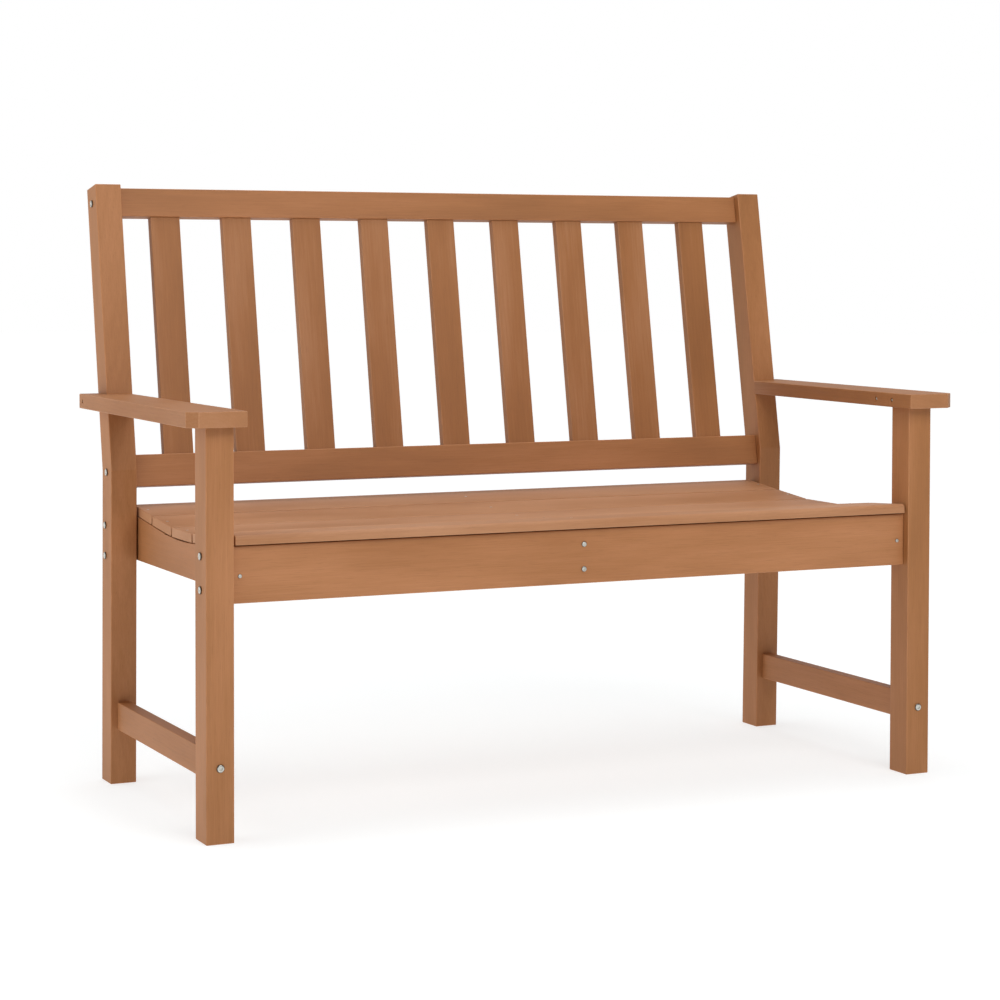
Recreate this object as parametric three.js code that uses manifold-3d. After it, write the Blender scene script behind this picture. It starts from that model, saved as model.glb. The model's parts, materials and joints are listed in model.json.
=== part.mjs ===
// Garden bench for two or three people: slatted back, dished slatted seat, two armrests.
// Millimetres, +Z up. X runs along the bench and the sitter faces -Y.
// Depths are first counted from the front face of the front legs, positive towards the back;
// the last lines move the bench so that its origin is the centre of its footprint, on the ground.

import * as THREE from 'three';
import Module from 'manifold-3d';
import { mergeVertices } from 'three/addons/utils/BufferGeometryUtils.js';

const wasm = await Module();
wasm.setup();

// ---- Driving dimensions ----

const GAP = 0.3; // clearance between pieces that touch

// Legs
const LEG_SPAN = 1172; // across the outer faces of the legs
const MIDDLE_OFFSET = -8; // the back slats and the seat's centre support stand a little left
const LEG_WIDTH = 40; // along the bench
const LEG_DEPTH = 46; // front to back
const REAR_POST_FOOT = 444.5; // front face of a rear post at the ground
const POST_RAKE = -0.016; // depth gained per unit of height below the knee
const POST_LEAN = 0.183; // the same above the knee, where the back reclines
const KNEE_HEIGHT = 475;
const BENCH_HEIGHT = 906;

// Armrests
const ARM_THICKNESS = 22;
const ARM_TOP = 588;
const ARM_OUT = 31; // overhang outboard of the legs
const ARM_IN_FRONT = 12; // overhang inboard of the front leg
const ARM_FRONT = 21.5; // overhang ahead of the front leg
const ARM_CHAMFER = 14; // outer front corner
const ARM_REAR = 499; // depth of the rear end, beside the post
const LEG_TENON = { width: 20, depth: 30, height: 16 }; // on a front leg, up into its armrest
const LEG_TENON_ROOT = 20; // how far a tenon's block is let into its leg

// Back
const BACK_RECESS = 12; // rails sit behind the front faces of the posts
const BACK_RAIL_THICKNESS = 22;
const TOP_RAIL_TOP = 902.5;
const TOP_RAIL_BOTTOM = 859.5;
const LOW_RAIL_TOP = 498.5;
const LOW_RAIL_BOTTOM = 451;
const BACK_SLAT_COUNT = 9;
const BACK_SLAT_PITCH = 116.3;
const BACK_SLAT_WIDTH = 47;
const BACK_SLAT_THICKNESS = 14;
const TENON_LENGTH = 12; // each slat end goes this far into its rail
const TENON_SHOULDER = 4; // the tenon is narrower than the slat by this much each side

// Seat frame
const BOARD = 20; // thickness of the seat frame's boards
const APRON_FRONT = 12.5;
const APRON_BOTTOM = 324;
const REAR_APRON_BOTTOM = 336;
const REAR_APRON_BACK = 478;
const SIDE_RAIL_BOTTOM = 337;
const CENTRE_SUPPORT_BOTTOM = 328;
const SIDE_RAIL_OFFSET = 2.5; // side rails stand in from the inner faces of the legs

// Seat slats
const SEAT_SLAT_COUNT = 5;
const SEAT_SLAT_THICKNESS = 14;
const SEAT_SLAT_GAP = 5;
const SEAT_FRONT = 4;
const SEAT_BACK = 468;
const SEAT_END_GAP = 3.5; // from a slat's end to the leg beside it
const NOSE_RADIUS = 6; // rounded top edge of the foremost slat
const NOSE_STEPS = 5;

// The dished line on which the slats rest
const DISH_CENTRE = 236;
const DISH_LOW = 387;
const DISH_RADIUS = 880;
const DISH_FRONT_REACH = 139; // the arc ends this far ahead of its centre
const DISH_BACK_REACH = 85; // and this far behind it
const DISH_FRONT_HEIGHT = 404; // at the front edge of the first slat, which lies on a straight
const DISH_STEP = 12; // spacing of the points along the line

// Side stretchers
const STRETCHER_BOTTOM = 83;
const STRETCHER_HEIGHT = 41;
const STRETCHER_THICKNESS = 20;

// Fasteners: a domed head with a round drive recess, on a plain shank
const BOLT = { headRadius: 5.8, headHeight: 3.2, shankRadius: 3, length: 64 };
const SCREW = { headRadius: 4.2, headHeight: 2.4, shankRadius: 2, length: 42 };
const SMALL_SCREW = { headRadius: 3, headHeight: 1.8, shankRadius: 1.6, length: 42 };
const HEAD_RIM = 0.4; // straight part of a head's side, of the head's height
const RECESS_RADIUS = 0.45; // of the head's radius
const RECESS_DEPTH = 0.6; // of the head's height
const FASTENER_SIDES = 10;
const BACK_BOLT_HEIGHTS = { top: 880, low: 474.75 }; // through the posts into the back rails
const APRON_BOLT_HEIGHTS = [344, 390]; // through the legs into the ends of the aprons
const APRON_END_SCREW_HEIGHT = 361.5; // through the aprons into the side rails
const CENTRE_SCREW_HEIGHTS = [345, 381]; // through the aprons into the centre support
const ARM_EDGE_SCREWS = [32, 76]; // depths of the screws in an armrest's inner edge
const ARM_REAR_SCREW = 482; // depth of the screw from an armrest into its rear post

// ---- Derived places ----

const legOuter = LEG_SPAN / 2;
const legInner = legOuter - LEG_WIDTH;
const slatEnd = legInner - SEAT_END_GAP;
const leanLength = Math.hypot(1, POST_LEAN);
const leanUp = { y: POST_LEAN / leanLength, z: 1 / leanLength }; // along the reclined back
const leanBack = { y: 1 / leanLength, z: -POST_LEAN / leanLength }; // square to it
const leanAngle = -Math.atan(POST_LEAN);
const kneeY = REAR_POST_FOOT + POST_RAKE * KNEE_HEIGHT;
const armBottom = ARM_TOP - ARM_THICKNESS;
const backEdge = postPoint(BENCH_HEIGHT, LEG_DEPTH).y; // rearmost point of the bench
const depthCentre = (backEdge - ARM_FRONT) / 2;

// A point on the reclined part of a post: its height on the front face, then how far behind it.
function postPoint(height, behind) {
  const run = (height - KNEE_HEIGHT) / leanUp.z;
  return {
    y: kneeY + run * leanUp.y + behind * leanBack.y,
    z: KNEE_HEIGHT + run * leanUp.z + behind * leanBack.z,
  };
}

// Height of the side rails' top edge at depth y.
function dishHeight(y) {
  const front = DISH_CENTRE - DISH_FRONT_REACH;
  const back = DISH_CENTRE + DISH_BACK_REACH;
  const arc = (t) => DISH_LOW + DISH_RADIUS - Math.sqrt(DISH_RADIUS ** 2 - (t - DISH_CENTRE) ** 2);
  const slope = (t) => (t - DISH_CENTRE) / Math.sqrt(DISH_RADIUS ** 2 - (t - DISH_CENTRE) ** 2);
  if (y < front) {
    const along = (y - SEAT_FRONT) / (front - SEAT_FRONT);
    return DISH_FRONT_HEIGHT + (arc(front) - DISH_FRONT_HEIGHT) * along;
  }
  if (y > back) return arc(back) + slope(back) * (y - back);
  return arc(y);
}

// ---- Materials ----

function wood(color) {
  return new THREE.MeshStandardMaterial({ color, roughness: 0.6, metalness: 0 });
}

const legWood = wood(0xa8714a);
const railWood = wood(0xa56c44);
const slatWood = wood(0xb07a52);
const steel = new THREE.MeshStandardMaterial({ color: 0xc9cbcc, roughness: 0.3, metalness: 1 });

// ---- Building blocks ----

const pieces = new Map(); // name of each piece to its solid and material

function addPiece(name, solid, material) {
  pieces.set(name, { solid, material });
}

// A board from its outline in the depth-height plane, spanning x0 to x1.
function boardAcross(points, x0, x1) {
  const shape = new THREE.Shape(points.map((p) => new THREE.Vector2(p.y, p.z)));
  const geometry = new THREE.ExtrudeGeometry(shape, { depth: x1 - x0, bevelEnabled: false });
  const toBench = new THREE.Matrix4().makeBasis(
    new THREE.Vector3(0, 1, 0),
    new THREE.Vector3(0, 0, 1),
    new THREE.Vector3(1, 0, 0),
  );
  return toSolid(geometry.applyMatrix4(toBench).translate(x0, 0, 0));
}

// A square-cut block between two corners.
function block(x0, x1, y0, y1, z0, z1) {
  const geometry = new THREE.BoxGeometry(x1 - x0, y1 - y0, z1 - z0);
  return toSolid(geometry.translate((x0 + x1) / 2, (y0 + y1) / 2, (z0 + z1) / 2));
}

function toSolid(geometry) {
  const bare = geometry.clone();
  bare.deleteAttribute('normal');
  bare.deleteAttribute('uv');
  const merged = mergeVertices(bare);
  const vertProperties = new Float32Array(merged.attributes.position.array);
  const triVerts = new Uint32Array(merged.index.array);
  return new wasm.Manifold(new wasm.Mesh({ numProp: 3, vertProperties, triVerts }));
}

function toGeometry(solid) {
  const mesh = solid.getMesh();
  const geometry = new THREE.BufferGeometry();
  geometry.setAttribute('position', new THREE.BufferAttribute(mesh.vertProperties, 3));
  geometry.setIndex(new THREE.BufferAttribute(mesh.triVerts, 1));
  const flat = geometry.toNonIndexed();
  flat.computeVertexNormals();
  return flat;
}

// ---- Legs ----

// The tenon on top of a front leg, or with grow the mortise for it.
function legTenon(side, grow = 0) {
  const middle = side * (legOuter - LEG_WIDTH / 2);
  const halfWidth = LEG_TENON.width / 2 + grow;
  const halfDepth = LEG_TENON.depth / 2 + grow;
  return block(
    middle - halfWidth, middle + halfWidth, LEG_DEPTH / 2 - halfDepth, LEG_DEPTH / 2 + halfDepth,
    armBottom - LEG_TENON_ROOT, armBottom + LEG_TENON.height + grow,
  );
}

function frontLeg(side) {
  const [x0, x1] = side < 0 ? [-legOuter, -legInner] : [legInner, legOuter];
  return block(x0, x1, 0, LEG_DEPTH, 0, armBottom - GAP).add(legTenon(side));
}

// Outline of a rear post: straight below the knee, reclined above it, cut square at the top.
function postOutline(grow = 0) {
  const footFront = REAR_POST_FOOT - grow;
  const footBack = REAR_POST_FOOT + LEG_DEPTH + grow;
  const kneeFront = postPoint(KNEE_HEIGHT, -grow);
  const topFront = postPoint(BENCH_HEIGHT, -grow);
  const topBack = postPoint(BENCH_HEIGHT, LEG_DEPTH + grow);
  // the rear faces of the two straight parts meet at the rear knee
  const start = postPoint(KNEE_HEIGHT, LEG_DEPTH + grow);
  const run = (footBack + POST_RAKE * start.z - start.y) / (leanUp.y - POST_RAKE * leanUp.z);
  const kneeBack = { y: start.y + run * leanUp.y, z: start.z + run * leanUp.z };
  return [{ y: footFront, z: 0 }, { y: footBack, z: 0 }, kneeBack, topBack, topFront, kneeFront];
}

function rearPost(side) {
  const [x0, x1] = side < 0 ? [-legOuter, -legInner] : [legInner, legOuter];
  return boardAcross(postOutline(), x0, x1);
}

// ---- Armrests ----

// A thick board seen from above, notched round the outer and front faces of its rear post.
function armrest(side) {
  const outer = legOuter + ARM_OUT;
  const outline = [
    [legInner - ARM_IN_FRONT, -ARM_FRONT],
    [outer - ARM_CHAMFER, -ARM_FRONT],
    [outer, -ARM_FRONT + ARM_CHAMFER],
    [outer, ARM_REAR],
    [legInner, ARM_REAR],
  ];
  const ordered = side > 0 ? outline : outline.map(([x, y]) => [-x, y]).reverse();
  const shape = new THREE.Shape(ordered.map(([x, y]) => new THREE.Vector2(x, y)));
  const board = new THREE.ExtrudeGeometry(shape, { depth: ARM_THICKNESS, bevelEnabled: false });
  const notch = [side * (legInner - LEG_WIDTH), side * (legOuter + GAP)];
  const post = boardAcross(postOutline(GAP), Math.min(...notch), Math.max(...notch));
  return toSolid(board.translate(0, 0, armBottom)).subtract(post).subtract(legTenon(side, GAP));
}

// ---- Back ----

// A piece of the reclined back: a box square to the lean, between two heights on the post's face.
function leaning(x0, x1, heightLow, heightHigh, behind, thickness) {
  const low = postPoint(heightLow, behind);
  const length = (heightHigh - heightLow) / leanUp.z;
  const geometry = new THREE.BoxGeometry(x1 - x0, thickness, length);
  geometry.translate((x0 + x1) / 2, thickness / 2, length / 2);
  return toSolid(geometry.rotateX(leanAngle).translate(0, low.y, low.z));
}

function backSlat(x) {
  const half = BACK_SLAT_WIDTH / 2;
  const narrow = half - TENON_SHOULDER;
  const behind = BACK_RECESS + (BACK_RAIL_THICKNESS - BACK_SLAT_THICKNESS) / 2;
  const body = leaning(
    x - half, x + half, LOW_RAIL_TOP + GAP, TOP_RAIL_BOTTOM - GAP, behind, BACK_SLAT_THICKNESS,
  );
  const tongue = leaning(
    x - narrow, x + narrow, LOW_RAIL_TOP - TENON_LENGTH, TOP_RAIL_BOTTOM + TENON_LENGTH,
    behind, BACK_SLAT_THICKNESS,
  );
  return body.add(tongue);
}

function slatCentre(index) {
  return MIDDLE_OFFSET + (index - (BACK_SLAT_COUNT - 1) / 2) * BACK_SLAT_PITCH;
}

// A back rail with one blind mortise for each slat.
function backRail(heightLow, heightHigh) {
  let rail = leaning(
    -legInner + GAP, legInner - GAP, heightLow, heightHigh, BACK_RECESS, BACK_RAIL_THICKNESS,
  );
  const half = BACK_SLAT_WIDTH / 2 - TENON_SHOULDER + GAP;
  const behind = BACK_RECESS + (BACK_RAIL_THICKNESS - BACK_SLAT_THICKNESS) / 2 - GAP;
  for (let i = 0; i < BACK_SLAT_COUNT; i++) {
    const x = slatCentre(i);
    const mortise = leaning(
      x - half, x + half, LOW_RAIL_TOP - TENON_LENGTH - GAP, TOP_RAIL_BOTTOM + TENON_LENGTH + GAP,
      behind, BACK_SLAT_THICKNESS + 2 * GAP,
    );
    rail = rail.subtract(mortise);
  }
  return rail;
}

// ---- Seat ----

// A seat support on edge: level underneath, dished on top.
function dishedRail(x0, x1, bottom) {
  const front = APRON_FRONT + BOARD + GAP;
  const back = REAR_APRON_BACK - BOARD - GAP;
  const steps = Math.round((back - front) / DISH_STEP);
  const outline = [{ y: front, z: bottom }, { y: back, z: bottom }];
  for (let i = steps; i >= 0; i--) {
    const y = front + ((back - front) * i) / steps;
    outline.push({ y, z: dishHeight(y) });
  }
  return boardAcross(outline, x0, x1);
}

const slatPitch = (SEAT_BACK - SEAT_FRONT + SEAT_SLAT_GAP) / SEAT_SLAT_COUNT;
const slatWidth = slatPitch - SEAT_SLAT_GAP;

// A flat seat slat bridges the dish from one of its edges to the other.
function seatSlat(index) {
  const front = SEAT_FRONT + index * slatPitch;
  const back = front + slatWidth;
  const lowFront = { y: front, z: dishHeight(front) + GAP };
  const lowBack = { y: back, z: dishHeight(back) + GAP };
  const tilt = Math.atan2(lowBack.z - lowFront.z, lowBack.y - lowFront.y);
  const outline = index === 0 ? nosedOutline() : [
    [0, 0], [slatWidth, 0], [slatWidth, SEAT_SLAT_THICKNESS], [0, SEAT_SLAT_THICKNESS],
  ];
  const points = outline.map(([u, v]) => ({
    y: front + u * Math.cos(tilt) - v * Math.sin(tilt),
    z: lowFront.z + u * Math.sin(tilt) + v * Math.cos(tilt),
  }));
  return boardAcross(points, -slatEnd, slatEnd);
}

// The foremost slat's section, with its top front edge rounded over.
function nosedOutline() {
  const points = [[0, 0], [slatWidth, 0], [slatWidth, SEAT_SLAT_THICKNESS]];
  for (let i = 0; i <= NOSE_STEPS; i++) {
    const turn = (Math.PI / 2) * (i / NOSE_STEPS);
    points.push([
      NOSE_RADIUS * (1 - Math.sin(turn)),
      SEAT_SLAT_THICKNESS - NOSE_RADIUS * (1 - Math.cos(turn)),
    ]);
  }
  return points;
}

// A cross board of the seat frame, level on top with the front of the dished line.
function apron(front, bottom) {
  const top = dishHeight(APRON_FRONT + BOARD);
  return block(-legInner + GAP, legInner - GAP, front, front + BOARD, bottom, top);
}

// ---- Side stretchers ----

// Low rail between a front leg and a rear post, cut to the post's rake at the back.
function stretcher(side) {
  const middle = side * (legOuter - LEG_WIDTH / 2);
  const top = STRETCHER_BOTTOM + STRETCHER_HEIGHT;
  const outline = [
    { y: LEG_DEPTH + GAP, z: STRETCHER_BOTTOM },
    { y: REAR_POST_FOOT + POST_RAKE * STRETCHER_BOTTOM - GAP, z: STRETCHER_BOTTOM },
    { y: REAR_POST_FOOT + POST_RAKE * top - GAP, z: top },
    { y: LEG_DEPTH + GAP, z: top },
  ];
  return boardAcross(outline, middle - STRETCHER_THICKNESS / 2, middle + STRETCHER_THICKNESS / 2);
}

for (const [side, word] of [[-1, 'left'], [1, 'right']]) {
  const railOuter = legInner - SIDE_RAIL_OFFSET;
  const [x0, x1] = side < 0 ? [-railOuter, -railOuter + BOARD] : [railOuter - BOARD, railOuter];
  addPiece(`front_leg_${word}`, frontLeg(side), legWood);
  addPiece(`rear_post_${word}`, rearPost(side), legWood);
  addPiece(`armrest_${word}`, armrest(side), slatWood);
  addPiece(`side_rail_${word}`, dishedRail(x0, x1, SIDE_RAIL_BOTTOM), railWood);
  addPiece(`stretcher_${word}`, stretcher(side), railWood);
}

addPiece('back_rail_top', backRail(TOP_RAIL_BOTTOM, TOP_RAIL_TOP), railWood);
addPiece('back_rail_low', backRail(LOW_RAIL_BOTTOM, LOW_RAIL_TOP), railWood);
for (let i = 0; i < BACK_SLAT_COUNT; i++) {
  addPiece(`back_slat_${i + 1}`, backSlat(slatCentre(i)), slatWood);
}

addPiece('apron_front', apron(APRON_FRONT, APRON_BOTTOM), railWood);
addPiece('apron_rear', apron(REAR_APRON_BACK - BOARD, REAR_APRON_BOTTOM), railWood);
const supportEnds = [MIDDLE_OFFSET - BOARD / 2, MIDDLE_OFFSET + BOARD / 2];
addPiece('seat_support_centre', dishedRail(...supportEnds, CENTRE_SUPPORT_BOTTOM), railWood);
for (let i = 0; i < SEAT_SLAT_COUNT; i++) {
  addPiece(`seat_slat_${i + 1}`, seatSlat(i), slatWood);
}

// ---- Fasteners ----

// A bolt or screw pointing along +Z, with its head's underside at the origin.
function fastenerGeometry({ headRadius, headHeight, shankRadius, length }) {
  const recessRadius = headRadius * RECESS_RADIUS;
  const recessFloor = headHeight * (1 - RECESS_DEPTH);
  const profile = [
    [0, -recessFloor],
    [recessRadius, -recessFloor],
    [recessRadius, -headHeight],
    [headRadius, -headHeight * HEAD_RIM],
    [headRadius, 0],
    [shankRadius, 0],
    [shankRadius, length],
    [0, length],
  ];
  const points = profile.map(([r, z]) => new THREE.Vector2(r, z));
  return new THREE.LatheGeometry(points, FASTENER_SIDES).rotateX(Math.PI / 2);
}

// Places a geometry made along +Z so that it starts at a point and runs in a direction.
function aim(geometry, at, direction) {
  const turn = new THREE.Quaternion().setFromUnitVectors(new THREE.Vector3(0, 0, 1), direction);
  return geometry.applyQuaternion(turn).translate(at.x, at.y, at.z);
}

// The wood that a drill removes along +Z.
function drilling(radius, from, to) {
  const cylinder = new THREE.CylinderGeometry(radius, radius, to - from, FASTENER_SIDES);
  return cylinder.rotateX(Math.PI / 2).translate(0, 0, (from + to) / 2);
}

// Drives a fastener into the wood: its hole is drilled in each piece that it passes through.
// A sunk head sits in a round pocket in the first of them.
function fasten(name, kind, at, towards, through, sunk = 0) {
  const direction = new THREE.Vector3(...towards);
  const start = new THREE.Vector3(...at).addScaledVector(direction, sunk - GAP);
  const cut = (piece, geometry) => {
    piece.solid = piece.solid.subtract(toSolid(aim(geometry, start, direction)));
  };
  for (const pieceName of through) {
    cut(pieces.get(pieceName), drilling(kind.shankRadius + GAP, -GAP, kind.length + GAP));
  }
  if (sunk > 0) {
    cut(pieces.get(through[0]), drilling(kind.headRadius + GAP, -2 * sunk, GAP));
  }
  addPiece(name, toSolid(aim(fastenerGeometry(kind), start, direction)), steel);
}

for (const [side, word] of [[-1, 'left'], [1, 'right']]) {
  const inward = [-side, 0, 0];
  const outer = side * legOuter;
  const leg = `front_leg_${word}`;
  const post = `rear_post_${word}`;
  const arm = `armrest_${word}`;
  for (const [rail, height] of Object.entries(BACK_BOLT_HEIGHTS)) {
    const { y, z } = postPoint(height, LEG_DEPTH / 2);
    fasten(`bolt_back_${rail}_${word}`, BOLT, [outer, y, z], inward, [post, `back_rail_${rail}`]);
  }
  APRON_BOLT_HEIGHTS.forEach((z, i) => {
    const front = APRON_FRONT + BOARD / 2;
    const rear = REAR_APRON_BACK - BOARD / 2;
    fasten(`bolt_apron_front_${word}_${i + 1}`, BOLT, [outer, front, z], inward, [leg, 'apron_front']);
    fasten(`bolt_apron_rear_${word}_${i + 1}`, BOLT, [outer, rear, z], inward, [post, 'apron_rear']);
  });

  const legMiddle = side * (legOuter - LEG_WIDTH / 2);
  const low = STRETCHER_BOTTOM + STRETCHER_HEIGHT / 2;
  const postBack = REAR_POST_FOOT + LEG_DEPTH + POST_RAKE * low;
  const bar = `stretcher_${word}`;
  fasten(`bolt_stretcher_front_${word}`, BOLT, [legMiddle, 0, low], [0, 1, 0], [leg, bar]);
  fasten(`bolt_stretcher_rear_${word}`, BOLT, [legMiddle, postBack, low], [0, -1, 0], [post, bar]);

  const railMiddle = side * (legInner - SIDE_RAIL_OFFSET - BOARD / 2);
  const sideRail = `side_rail_${word}`;
  const frontEnd = [railMiddle, APRON_FRONT, APRON_END_SCREW_HEIGHT];
  const rearEnd = [railMiddle, REAR_APRON_BACK, APRON_END_SCREW_HEIGHT];
  fasten(`screw_apron_front_${word}`, SMALL_SCREW, frontEnd, [0, 1, 0], ['apron_front', sideRail]);
  fasten(`screw_apron_rear_${word}`, SMALL_SCREW, rearEnd, [0, -1, 0], ['apron_rear', sideRail]);

  const armMiddle = ARM_TOP - ARM_THICKNESS / 2;
  const armRear = [side * (legOuter + ARM_OUT), ARM_REAR_SCREW, armMiddle];
  const sunk = SMALL_SCREW.headHeight + 2 * GAP;
  fasten(`screw_arm_rear_${word}`, SMALL_SCREW, armRear, inward, [arm, post], sunk);
  ARM_EDGE_SCREWS.forEach((y, i) => {
    const taper = (y + ARM_FRONT) / (ARM_REAR + ARM_FRONT);
    const edge = [side * (legInner - ARM_IN_FRONT * (1 - taper)), y, armMiddle];
    fasten(`screw_arm_edge_${word}_${i + 1}`, SMALL_SCREW, edge, [side, 0, 0], [arm, leg], sunk);
  });
}

CENTRE_SCREW_HEIGHTS.forEach((z, i) => {
  const support = 'seat_support_centre';
  const frontFace = [MIDDLE_OFFSET, APRON_FRONT, z];
  const rearFace = [MIDDLE_OFFSET, REAR_APRON_BACK, z];
  fasten(`screw_centre_front_${i + 1}`, SCREW, frontFace, [0, 1, 0], ['apron_front', support]);
  fasten(`screw_centre_rear_${i + 1}`, SCREW, rearFace, [0, -1, 0], ['apron_rear', support]);
});

// ---- The bench ----

const bench = new THREE.Group();
for (const [name, { solid, material }] of pieces) {
  const mesh = new THREE.Mesh(toGeometry(solid), material);
  mesh.name = name;
  bench.add(mesh);
}
bench.position.y = -depthCentre;

export default bench;
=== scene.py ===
"""Looks of a wooden garden bench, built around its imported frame: stained wood pieces with eased
edges and their own grain, steel bolts and screws, a white studio floor, lights and the camera.
Metres, +Z up, the bench faces -Y."""

import json
import math
import random
from functools import partial

import bmesh
import bpy
from mathutils import Euler, Matrix, Vector


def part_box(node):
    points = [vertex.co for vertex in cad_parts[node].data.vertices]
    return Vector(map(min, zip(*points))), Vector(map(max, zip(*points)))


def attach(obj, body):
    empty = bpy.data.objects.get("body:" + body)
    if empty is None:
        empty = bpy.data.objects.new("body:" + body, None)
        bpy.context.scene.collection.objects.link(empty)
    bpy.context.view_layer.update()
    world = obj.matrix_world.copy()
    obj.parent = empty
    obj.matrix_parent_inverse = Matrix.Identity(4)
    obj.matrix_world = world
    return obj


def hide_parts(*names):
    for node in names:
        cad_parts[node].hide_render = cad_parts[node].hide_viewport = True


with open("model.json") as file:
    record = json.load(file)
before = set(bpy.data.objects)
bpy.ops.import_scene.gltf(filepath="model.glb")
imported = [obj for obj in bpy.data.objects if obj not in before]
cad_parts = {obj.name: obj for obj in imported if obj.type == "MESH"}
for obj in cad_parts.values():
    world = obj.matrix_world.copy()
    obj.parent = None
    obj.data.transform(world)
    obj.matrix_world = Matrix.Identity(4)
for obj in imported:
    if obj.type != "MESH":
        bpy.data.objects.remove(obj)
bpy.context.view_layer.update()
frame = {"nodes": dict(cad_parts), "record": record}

MM = 0.001
WELD = 1e-6  # corners of a solid closer than this are one
random.seed(11)

# Wood
EDGE_RADIUS = 1.2 * MM  # eased edges of the boards
EDGE_SEGMENTS = 3
LONG_EDGE = 60 * MM  # every sharp edge longer than this is eased
SHARP = math.radians(30)  # faces that meet at more than this make a sharp edge
FLAT = math.radians(0.5)  # faces that meet at less than this are one face
ON_EDGE = 0.05 * MM  # a corner this close to an edge lies on it
NEAR_PARALLEL = 0.9  # cosine between two directions that count as the same
PITH_DISTANCE = (45 * MM, 120 * MM)  # from a board's middle to the centre of its growth rings
GRAIN_START = (5, 50)  # each board's place along an endless trunk, in metres
WANDER_SCALE = (2.2, 14.0, 14.0)  # scales of noise along and across the grain, per metre
FIBRE_SCALE = (14.0, 620.0, 620.0)
PORE_SCALE = (45.0, 1500.0, 1500.0)
PATCH_SCALE = (2.6, 13.0, 13.0)
RING_SPACING = 5.2 * MM
RING_WANDER = 0.022  # how far a growth ring strays, in metres
PATCH_SHARE = 0.90  # shares of patches, fibres and rings in a board's lightness
FIBRE_SHARE = 0.34
RING_SHARE = 0.035
LEVEL_SHIFT = -0.24
COLOR_STOPS = (0.10, 0.40, 0.98)  # lightness at the dark, middle and light colours
PORE_STOPS = (0.60, 0.70)  # noise above these makes a pore
PORE_STRENGTH = 0.16
PORE_SHADE = 0.35  # of the dark colour
END_LIGHTENING = 0.30
EDGE_WEAR_AND_HIGHLIGHT = (0.9, -0.12)  # wear and painted highlight along eased edges: of the fibres, and its shift
WOOD_ROUGHNESS = (0.16, 0.50)  # of the fibres, and its base
RING_RELIEF = 0.12  # heights beside that of the fibres
PORE_RELIEF = -0.5
WOOD_BUMP = (0.25 * MM, 0.35)  # depth and strength
WOOD_SPECULAR = 0.42
WOOD_COLORS = {  # dark, middle and light
    "leg_wood": ((0.262, 0.102, 0.028), (0.350, 0.140, 0.043), (0.520, 0.228, 0.098)),
    "rail_wood": ((0.262, 0.101, 0.028), (0.350, 0.138, 0.044), (0.520, 0.226, 0.096)),
    # its light colour is paler and greyer, to paint the sheen on the seat slats, which reach it
    "slat_wood": ((0.240, 0.089, 0.022), (0.320, 0.122, 0.034), (0.478, 0.232, 0.114)),
}
KIND_TONES_AND_SEAT_LIGHT = {  # how much lighter some kinds of board are; the seat slats' large share is painted light from above and painted sheen on the seat
    # seat slats: made lighter as painted light and painted sheen on the seat's top
    "seat_slat": 0.40, "apron": 0.16, "front_leg": 0.14,
    "side_rail": 0.10, "armrest": 0.06, "stretcher": 0.05,
}
TONE_SPREAD = 0.045

# Steel
STEEL_STOPS = (0.3, 0.7)
STEEL_DULL = (0.46, 0.45, 0.41)
STEEL_BRIGHT = (0.74, 0.72, 0.66)
# dark colour painted round the rims of bolt and screw heads: painted shade where a head meets the
# wood
RIM_SHADE_COLOR = (0.06, 0.035, 0.02)
RIM_SHADE_STRENGTH = 0.85
CLOUD_SCALE = (260.0, 260.0, 260.0)  # per metre
SCRATCH_SCALE = (3000.0, 900.0, 3000.0)
STEEL_ROUGHNESS = (0.2, 0.22)  # of the clouds, and its base
STEEL_BUMP = (0.05 * MM, 0.3)  # depth and strength

# Bolts and screws: sizes of a head, of its radius
FRAME_HEAD_HEIGHT = 0.55  # in the frame, from the wood to the top of the head
HEAD_HEIGHT = 0.34
CROWN_RADIUS = 0.62  # the dome curves down from here
UNDERSIDE_RADIUS = 0.99
SOCKET_RADIUS = 0.48
SHANK_RADIUS = 0.5
TIP_RADIUS = 0.3  # of the shank's radius
RIM_START = 0.85  # the painted shade round the rim of a head starts here
SUNK_HEAD = 0.8  # the screws in the armrests leave a dark ring round their heads
SOCKET_MOUTH = 1.12  # of the socket's radius
SOCKET_FLOOR = 0.35  # heights in a head, of its own height
SOCKET_EDGE = 0.93
DOME_FOOT = 0.25
DOME_STEPS = 6
HEAD_SIDES = 36

# Seat screws, driven down through each slat into the supports
SEAT_SCREW_RADIUS = 2.3 * MM
SEAT_SCREW_PROUD = 0.2 * MM
SEAT_SCREW_DEPTH = 1.5 * MM
SEAT_SOCKET_RADIUS = 0.45  # of the screw's radius
SEAT_SCREW_SIDES = 24

# Camera
CAMERA_PLACE = Vector((-1.684, -3.498, 0.789))
CAMERA_AZIMUTH = math.radians(-25.43)  # 0 looks along +Y
CAMERA_PITCH = math.radians(-2.0)
CAMERA_ROLL = math.radians(-0.126)
CAMERA_LENS = 91.05
CAMERA_SHIFT = -0.15
SENSOR_WIDTH = 36  # millimetres

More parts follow.
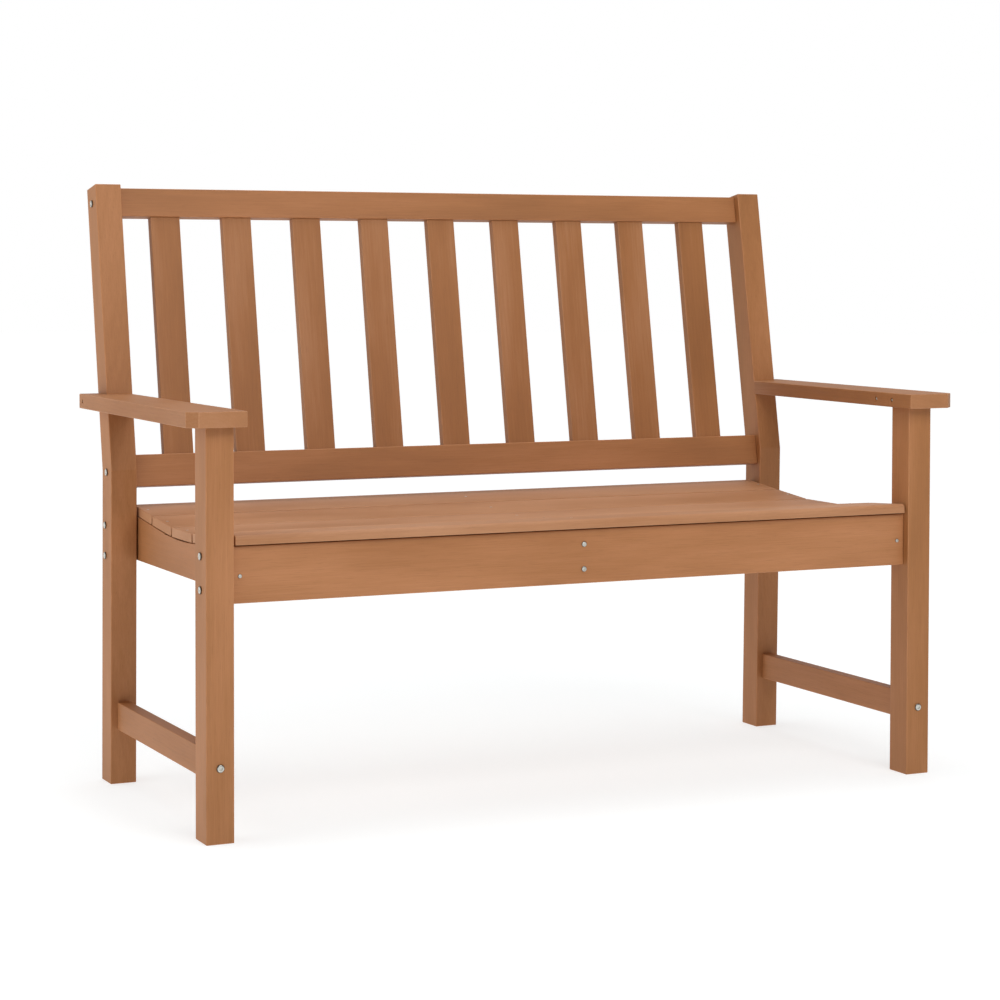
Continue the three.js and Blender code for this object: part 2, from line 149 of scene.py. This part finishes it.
# Studio
FLOOR_RADIUS = 24.0
FLOOR_SIDES = 96
FLOOR_COLOR = (0.43, 0.45, 0.455)  # slightly cold, so that light from the wood does not tint it
FLOOR_GLOW = 0.85
FLOOR_NEAR_GLOW = 0.65  # near its middle
GLOW_START = 0.25  # the floor's glow grows from here, of its reach
GLOW_REACH = 3.2  # the floor shines less than this far from its middle
DOME_GAP = 1.0  # from the floor's rim to the backdrop
DOME_SEGMENTS = 48
DOME_RINGS = 24
SKY_STOPS = (0.35, 0.85)
SKY_FRONT = 0.15  # the sky in front of the bench, where the camera stands
SKY_BACK = 0.75  # and behind it
LIGHTS = (  # name, place, target, size and watts
    ("left_panel", (-1.7, 0.1, 0.75), (-0.5, 0.05, 0.5), (1.2, 1.3), 6.6),
    ("front_softbox", (0.1, -2.6, 2.5), (0.1, 0.0, 0.5), (2.6, 1.6), 45),
    ("front_fill", (-0.1, -1.7, 1.25), (-0.1, -0.2, 0.4), (1.4, 0.5), 5),
    ("overhead", (0.1, 0.15, 2.9), (0.0, 0.0, 0.4), (2.2, 1.4), 33),
)


# ---- Materials ----


def new_material(name):
    material = bpy.data.materials.new(name)
    material.use_nodes = True
    nodes = material.node_tree.nodes
    nodes.clear()
    shader = nodes.new("ShaderNodeBsdfPrincipled")
    output = nodes.new("ShaderNodeOutputMaterial")
    material.node_tree.links.new(shader.outputs["BSDF"], output.inputs["Surface"])
    return material, shader


class Nodes:
    """Short calls for adding linked nodes to a material or to the world."""

    def __init__(self, material):
        self.tree = material.node_tree

    def add(self, kind, **settings):
        node = self.tree.nodes.new(kind)
        for key, value in settings.items():
            setattr(node, key, value)
        return node

    def feed(self, socket, value):
        if isinstance(value, bpy.types.NodeSocket):
            self.tree.links.new(value, socket)
        else:
            socket.default_value = value

    def math(self, operation, a, b=0.0, c=0.0):
        node = self.add("ShaderNodeMath", operation=operation)
        for socket, value in zip(node.inputs, (a, b, c)):
            self.feed(socket, value)
        return node.outputs[0]

    def vector(self, operation, a, b):
        node = self.add("ShaderNodeVectorMath", operation=operation)
        self.feed(node.inputs[0], a)
        self.feed(node.inputs[1], b)
        return node.outputs["Value" if operation == "LENGTH" else "Vector"]

    def noise(self, vector, scale=1.0, detail=3.0, roughness=0.55):
        node = self.add("ShaderNodeTexNoise")
        self.feed(node.inputs["Vector"], vector)
        node.inputs["Scale"].default_value = scale
        node.inputs["Detail"].default_value = detail
        node.inputs["Roughness"].default_value = roughness
        return node.outputs["Fac"]

    def ramp(self, value, stops):
        node = self.add("ShaderNodeValToRGB")
        self.feed(node.inputs["Fac"], value)
        elements = node.color_ramp.elements
        while len(elements) < len(stops):
            elements.new(0.5)
        for element, (place, color) in zip(elements, stops):
            element.position = place
            element.color = (*color, 1.0)
        return node.outputs["Color"]

    def mix(self, factor, a, b, blend="MIX"):
        node = self.add("ShaderNodeMix", data_type="RGBA", blend_type=blend)
        self.feed(node.inputs["Factor"], factor)
        self.feed(node.inputs["A"], a)
        self.feed(node.inputs["B"], b)
        return node.outputs["Result"]

    def attribute(self, name, output="Fac"):
        return self.add("ShaderNodeAttribute", attribute_name=name).outputs[output]

    def bump(self, height, distance, strength):
        node = self.add("ShaderNodeBump")
        self.feed(node.inputs["Height"], height)
        node.inputs["Distance"].default_value = distance
        node.inputs["Strength"].default_value = strength
        return node.outputs["Normal"]


def gray(level):
    return (level, level, level)


def wood_material(name, dark, middle, light):
    """Stained wood. The mesh's grain attribute runs along a piece in x and across it in y and z,
    in metres from the centre of the growth rings; tone, end and edge say what each face is."""
    material, shader = new_material(name)
    n = Nodes(material)
    grain = n.attribute("grain", "Vector")
    across = n.vector("MULTIPLY", grain, (0.0, 1.0, 1.0))

    # growth rings, which wander a little along the piece
    wander = n.noise(n.vector("MULTIPLY", grain, WANDER_SCALE), detail=2.0)
    radius = n.vector("LENGTH", across, (0.0, 0.0, 0.0))
    radius = n.math("MULTIPLY_ADD", wander, RING_WANDER, radius)
    turns = n.math("MULTIPLY", radius, 2 * math.pi / RING_SPACING)
    rings = n.math("MULTIPLY_ADD", n.math("SINE", turns), 0.5, 0.5)

    # fibres, pores and slow changes of colour, all drawn out along the grain
    fibres = n.noise(n.vector("MULTIPLY", grain, FIBRE_SCALE), detail=3.0)
    pores = n.noise(n.vector("MULTIPLY", grain, PORE_SCALE), detail=1.0)
    patches = n.noise(n.vector("MULTIPLY", grain, PATCH_SCALE), detail=3.0)

    level = n.math("MULTIPLY_ADD", patches, PATCH_SHARE, n.math("MULTIPLY", fibres, FIBRE_SHARE))
    level = n.math("MULTIPLY_ADD", rings, RING_SHARE, level)
    level = n.math("ADD", n.math("ADD", level, LEVEL_SHIFT), n.attribute("tone"))
    color = n.ramp(level, list(zip(COLOR_STOPS, (dark, middle, light))))

    pore_mask = n.ramp(pores, list(zip(PORE_STOPS, (gray(0.0), gray(1.0)))))
    pore_amount = n.math("MULTIPLY", pore_mask, PORE_STRENGTH)
    color = n.mix(pore_amount, color, (*(PORE_SHADE * c for c in dark), 1.0))
    end_amount = n.math("MULTIPLY", n.attribute("end"), END_LIGHTENING)
    color = n.mix(end_amount, color, (*light, 1.0))
    # eased edges are lightened: partly wear, partly a painted highlight
    wear_and_highlight = n.math("MULTIPLY_ADD", fibres, *EDGE_WEAR_AND_HIGHLIGHT)
    worn_and_lit = n.math("MULTIPLY", n.attribute("edge"), wear_and_highlight)
    color = n.mix(worn_and_lit, color, (*light, 1.0))
    n.feed(shader.inputs["Base Color"], color)

    n.feed(shader.inputs["Roughness"], n.math("MULTIPLY_ADD", fibres, *WOOD_ROUGHNESS))
    height = n.math("MULTIPLY_ADD", rings, RING_RELIEF, fibres)
    height = n.math("MULTIPLY_ADD", pores, PORE_RELIEF, height)
    n.feed(shader.inputs["Normal"], n.bump(height, *WOOD_BUMP))
    shader.inputs["Specular IOR Level"].default_value = WOOD_SPECULAR
    return material


def steel_material():
    """Zinc-plated steel, a little dulled and brushed, with painted shade round the rims of heads.
    """
    material, shader = new_material("fastener_steel")
    n = Nodes(material)
    place = n.add("ShaderNodeTexCoord").outputs["Object"]
    cloud = n.noise(n.vector("MULTIPLY", place, CLOUD_SCALE), detail=3.0)
    color = n.ramp(cloud, list(zip(STEEL_STOPS, (STEEL_DULL, STEEL_BRIGHT))))
    # painted shade: the outer rims of heads are darkened as if shadowed where they meet the wood
    rim_shade = n.math("MULTIPLY", n.attribute("shaded_rim"), RIM_SHADE_STRENGTH)
    color = n.mix(rim_shade, color, (*RIM_SHADE_COLOR, 1.0))
    n.feed(shader.inputs["Base Color"], color)
    shader.inputs["Metallic"].default_value = 1.0
    n.feed(shader.inputs["Roughness"], n.math("MULTIPLY_ADD", cloud, *STEEL_ROUGHNESS))
    scratches = n.noise(n.vector("MULTIPLY", place, SCRATCH_SCALE), detail=2.0)
    n.feed(shader.inputs["Normal"], n.bump(scratches, *STEEL_BUMP))
    return material


MATERIALS = {name: wood_material(name, *colors) for name, colors in WOOD_COLORS.items()}
MATERIALS["fastener_steel"] = steel_material()
slot_of = {row["node"]: row["material_slot"] for row in frame["record"]["subparts"]}


def finish_piece(bm, name, slot):
    """Turns a bmesh into a visible piece that rides on the bench."""
    mesh = bpy.data.meshes.new(name)
    bm.to_mesh(mesh)
    bm.free()
    piece = bpy.data.objects.new(name, mesh)
    bpy.context.scene.collection.objects.link(piece)
    mesh.materials.append(MATERIALS[slot])
    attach(piece, "root")
    return piece


# ---- Wooden pieces ----


def clean_solid(node):
    """A frame piece's solid with the triangles of each flat face joined."""
    bm = bmesh.new()
    bm.from_mesh(frame["nodes"][node].data)
    bmesh.ops.remove_doubles(bm, verts=bm.verts, dist=WELD)
    bmesh.ops.dissolve_limit(bm, angle_limit=FLAT, verts=bm.verts, edges=bm.edges)
    return bm


def hull_edges(bm):
    """The sharp edges of the smallest convex shape round a solid, as pairs of points."""
    hull = bm.copy()
    made = bmesh.ops.convex_hull(hull, input=hull.verts, use_existing_faces=False)
    inside = [v for v in made["geom_interior"] if isinstance(v, bmesh.types.BMVert)]
    bmesh.ops.delete(hull, geom=inside, context="VERTS")
    bmesh.ops.dissolve_limit(hull, angle_limit=FLAT, verts=hull.verts, edges=hull.edges)
    pairs = [
        (e.verts[0].co.copy(), e.verts[1].co.copy())
        for e in hull.edges
        if len(e.link_faces) == 2 and e.calc_face_angle() > SHARP
    ]
    hull.free()
    return pairs


def lies_on(point, pair):
    start, end = pair
    along = end - start
    t = max(0.0, min(1.0, (point - start).dot(along) / along.length_squared))
    return (start + along * t - point).length < ON_EDGE


def edges_to_ease(bm):
    """Outer edges of a board, leaving out its mortises, notches and screw holes."""
    outer = hull_edges(bm)
    chosen = []
    for edge in bm.edges:
        if len(edge.link_faces) != 2 or edge.calc_face_angle_signed() < SHARP:
            continue
        on_hull = any(all(lies_on(v.co, pair) for v in edge.verts) for pair in outer)
        if on_hull or edge.calc_length() > LONG_EDGE:
            chosen.append(edge)
    return chosen


def grain_axes(bm):
    """Directions along a board, and two across it."""
    longest = max(bm.edges, key=lambda e: e.calc_length())
    along = (longest.verts[1].co - longest.verts[0].co).normalized()
    aside = Vector((1, 0, 0)) if abs(along.x) < NEAR_PARALLEL else Vector((0, 1, 0))
    third = along.cross(aside).normalized()
    return along, third.cross(along), third


def write_grain(bm, eased_faces, tone):
    """Stores what the wood material reads: grain coordinates, tone, end grain and edges."""
    axes = grain_axes(bm)
    middle = sum((v.co for v in bm.verts), Vector()) / len(bm.verts)
    turn = random.uniform(0, 2 * math.pi)
    reach = random.uniform(*PITH_DISTANCE)
    pith = Vector((random.uniform(*GRAIN_START), reach * math.cos(turn), reach * math.sin(turn)))
    grain = bm.loops.layers.float_vector.new("grain")
    tones = bm.loops.layers.float.new("tone")
    ends = bm.loops.layers.float.new("end")
    edges = bm.loops.layers.float.new("edge")
    for face in bm.faces:
        is_end = abs(face.normal.dot(axes[0])) > NEAR_PARALLEL
        is_edge = face in eased_faces
        for loop in face.loops:
            place = loop.vert.co - middle
            loop[grain] = Vector([place.dot(axis) for axis in axes]) + pith
            loop[tones] = tone
            loop[ends] = float(is_end)
            loop[edges] = float(is_edge)


def tone_and_seat_light(node):
    """How light or dark a board is: its kind's tone, which for the seat slats holds painted light
    from above, and a little chance.
    """
    kinds = [tone for kind, tone in KIND_TONES_AND_SEAT_LIGHT.items() if node.startswith(kind)]
    return sum(kinds) + random.uniform(-TONE_SPREAD, TONE_SPREAD)


def wooden_piece(node):
    bm = clean_solid(node)
    made = bmesh.ops.bevel(
        bm,
        geom=edges_to_ease(bm),
        offset=EDGE_RADIUS,
        segments=EDGE_SEGMENTS,
        profile=0.5,
        affect="EDGES",
        clamp_overlap=False,
    )
    eased = set(made["faces"])
    for face in bm.faces:
        face.smooth = face in eased
    bm.normal_update()
    write_grain(bm, eased, tone_and_seat_light(node))
    piece = finish_piece(bm, f"wood_{node}", slot_of[node])
    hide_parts(node)
    normals = piece.modifiers.new("flat faces stay flat", "WEIGHTED_NORMAL")
    normals.keep_sharp = True
    return piece


# ---- Fasteners ----


def hexagon(radius, angle):
    """Distance from the middle of a hexagon to its side, in a direction."""
    sixth = math.pi / 3
    return radius * math.cos(sixth / 2) / math.cos((angle % sixth) - sixth / 2)


def turned_solid(rings, sides):
    """A closed solid from rings of (radius or a function of the angle, height), top to bottom."""
    bm = bmesh.new()
    loops = []
    for radius, height in rings:
        loop = []
        for i in range(sides):
            angle = 2 * math.pi * i / sides
            reach = radius(angle) if callable(radius) else radius
            loop.append(bm.verts.new((reach * math.cos(angle), reach * math.sin(angle), height)))
        loops.append(loop)
    for upper, lower in zip(loops, loops[1:]):
        for i in range(sides):
            j = (i + 1) % sides
            bm.faces.new((upper[j], upper[i], lower[i], lower[j]))
    bm.faces.new(loops[0])
    bm.faces.new(list(reversed(loops[-1])))
    bmesh.ops.recalc_face_normals(bm, faces=bm.faces)
    widest = max(vert.co.xy.length for vert in bm.verts)
    # marks the outer ring of a head, where the steel material paints shade
    shaded_rim = bm.loops.layers.float.new("shaded_rim")
    for face in bm.faces:
        for loop in face.loops:
            loop[shaded_rim] = float(loop.vert.co.xy.length > RIM_START * widest)
    return bm


def head_rings(radius, height, socket):
    """A domed head from the floor of its hexagonal socket, over the rim, to its underside."""
    hole = partial(hexagon, socket)
    mouth = partial(hexagon, socket * SOCKET_MOUTH)
    rings = [(hole, height * SOCKET_FLOOR), (hole, height * SOCKET_EDGE), (mouth, height)]
    crown = CROWN_RADIUS * radius
    for i in range(1, DOME_STEPS + 1):
        turn = (math.pi / 2) * i / DOME_STEPS
        reach = crown + (radius - crown) * math.sin(turn)
        rings.append((reach, height * (DOME_FOOT + (1 - DOME_FOOT) * math.cos(turn))))
    rings.append((radius * UNDERSIDE_RADIUS, 0.0))
    return rings


def smooth_turned(bm):
    """Shades the sides of a turned solid smoothly and leaves its two end faces flat."""
    for face in bm.faces:
        face.smooth = len(face.verts) == 4
    return bm


def placed(bm, place, direction):
    """Turns a fastener made with its head up along +Z, so that its head points in a direction."""
    turn = Vector((0, 0, 1)).rotation_difference(direction).to_matrix().to_4x4()
    bm.transform(Matrix.Translation(place) @ turn)
    return bm


def fastener_piece(node):
    """A bolt or screw in the place of the frame's plain one."""
    low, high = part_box(node)
    low, high = Vector(low), Vector(high)
    size = high - low
    axis = max(range(3), key=lambda i: size[i])
    radius = min(size) / 2
    frame_head = FRAME_HEAD_HEIGHT * radius
    length = size[axis]
    middle = (low + high) / 2
    head_up = Vector((0, 0, 0))
    head_up[axis] = head_side(node, axis, middle)
    if node.startswith("screw_arm"):
        radius *= SUNK_HEAD
    head = HEAD_HEIGHT * radius
    shank = SHANK_RADIUS * radius
    rings = head_rings(radius, head, SOCKET_RADIUS * radius)
    tip = frame_head - length
    rings += [(shank, 0.0), (shank, tip + shank), (shank * TIP_RADIUS, tip)]
    bm = smooth_turned(turned_solid(rings, HEAD_SIDES))
    seat = middle + head_up * (length / 2 - frame_head)
    piece = finish_piece(placed(bm, seat, head_up), f"steel_{node}", slot_of[node])
    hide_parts(node)
    return piece


def head_side(node, axis, middle):
    """+1 or -1: the end of a fastener that carries its head, found from the solid's width there."""
    ends = {1: 0.0, -1: 0.0}
    for vertex in frame["nodes"][node].data.vertices:
        off = vertex.co - middle
        side = 1 if off[axis] > 0 else -1
        off[axis] = 0
        ends[side] = max(ends[side], off.length)
    return 1 if ends[1] > ends[-1] else -1


def seat_screws():
    """One small screw through each seat slat into each side rail and the centre support."""
    supports = ["side_rail_left", "seat_support_centre", "side_rail_right"]
    socket = SEAT_SOCKET_RADIUS * SEAT_SCREW_RADIUS
    slats = sorted(name for name in frame["nodes"] if name.startswith("seat_slat_"))
    for slat in slats:
        solid = clean_solid(slat)
        upward = [f for f in solid.faces if f.normal.z > NEAR_PARALLEL]
        top = max(upward, key=lambda f: f.calc_area())
        normal = top.normal.copy()
        on_top = top.calc_center_bounds()
        solid.free()
        for support in supports:
            low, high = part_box(support)
            place = Vector(((low[0] + high[0]) / 2, on_top.y, on_top.z))
            rings = head_rings(SEAT_SCREW_RADIUS, SEAT_SCREW_PROUD, socket)
            rings.append((SEAT_SCREW_RADIUS * SHANK_RADIUS, -SEAT_SCREW_DEPTH))
            bm = smooth_turned(turned_solid(rings, SEAT_SCREW_SIDES))
            word = support.removeprefix("side_rail_").removeprefix("seat_support_")
            finish_piece(placed(bm, place, normal), f"steel_{slat}_screw_{word}", "fastener_steel")


for node in sorted(frame["nodes"]):
    if node.startswith(("bolt", "screw")):
        fastener_piece(node)
    else:
        wooden_piece(node)
seat_screws()


# ---- Studio ----


def glow_material(name, color, glow, near_glow=None):
    """A pale surface that also shines, so that only soft shadows show on it. It can shine less
    near its middle."""
    material, shader = new_material(name)
    shader.inputs["Base Color"].default_value = (*color, 1.0)
    shader.inputs["Roughness"].default_value = 1.0
    shader.inputs["Specular IOR Level"].default_value = 0.0
    shader.inputs["Emission Color"].default_value = (1.0, 1.0, 1.0, 1.0)
    shader.inputs["Emission Strength"].default_value = glow
    if near_glow is not None:
        n = Nodes(material)
        place = n.add("ShaderNodeTexCoord").outputs["Object"]
        reach = n.math("DIVIDE", n.vector("LENGTH", place, (0.0, 0.0, 0.0)), GLOW_REACH)
        strength = n.ramp(reach, [(GLOW_START, gray(near_glow)), (1.0, gray(glow))])
        n.feed(shader.inputs["Emission Strength"], strength)
    return material


def make_floor():
    bpy.ops.mesh.primitive_circle_add(
        vertices=FLOOR_SIDES, radius=FLOOR_RADIUS, fill_type="NGON"
    )
    floor = bpy.context.object
    floor.name = "studio_floor"
    shine = glow_material("studio_floor", FLOOR_COLOR, FLOOR_GLOW, near_glow=FLOOR_NEAR_GLOW)
    floor.data.materials.append(shine)


def make_backdrop():
    """A white dome round everything, which adds no light and no reflections to the bench."""
    bpy.ops.mesh.primitive_uv_sphere_add(
        segments=DOME_SEGMENTS, ring_count=DOME_RINGS, radius=FLOOR_RADIUS + DOME_GAP
    )
    dome = bpy.context.object
    dome.name = "studio_backdrop"
    dome.data.materials.append(glow_material("studio_backdrop", gray(0.0), 1.0))
    dome.visible_diffuse = False
    dome.visible_glossy = False
    dome.visible_shadow = False


def area_light(name, place, target, size, power):
    light = bpy.data.lights.new(name, "AREA")
    light.shape = "RECTANGLE"
    light.size, light.size_y = size
    light.energy = power
    lamp = bpy.data.objects.new(name, light)
    lamp.location = place
    lamp.rotation_euler = (Vector(target) - Vector(place)).to_track_quat("-Z", "Y").to_euler()
    lamp.visible_camera = False
    bpy.context.scene.collection.objects.link(lamp)


def make_lights():
    world = bpy.data.worlds.new("studio")
    bpy.context.scene.world = world
    world.use_nodes = True
    sky = world.node_tree.nodes["Background"]
    n = Nodes(world)
    toward = n.add("ShaderNodeSeparateXYZ")
    n.feed(toward.inputs[0], n.add("ShaderNodeTexCoord").outputs["Generated"])
    depth = n.math("MULTIPLY_ADD", toward.outputs["Y"], 0.5, 0.5)
    color = n.ramp(depth, list(zip(SKY_STOPS, (gray(SKY_FRONT), gray(SKY_BACK)))))
    n.feed(sky.inputs["Color"], color)
    sky.inputs["Strength"].default_value = 1.0
    for light in LIGHTS:
        area_light(*light)


def make_camera():
    data = bpy.data.cameras.new("camera")
    data.sensor_width = SENSOR_WIDTH
    data.lens = CAMERA_LENS
    data.shift_y = CAMERA_SHIFT
    camera = bpy.data.objects.new("camera", data)
    upright = Euler((math.pi / 2 + CAMERA_PITCH, 0.0, CAMERA_AZIMUTH), "XYZ").to_matrix()
    rolled = upright @ Matrix.Rotation(-CAMERA_ROLL, 3, "Z")
    camera.matrix_world = Matrix.Translation(CAMERA_PLACE) @ rolled.to_4x4()
    bpy.context.scene.collection.objects.link(camera)
    bpy.context.scene.camera = camera


make_floor()
make_backdrop()
make_lights()
make_camera()
bpy.context.scene.view_settings.view_transform = "Standard"
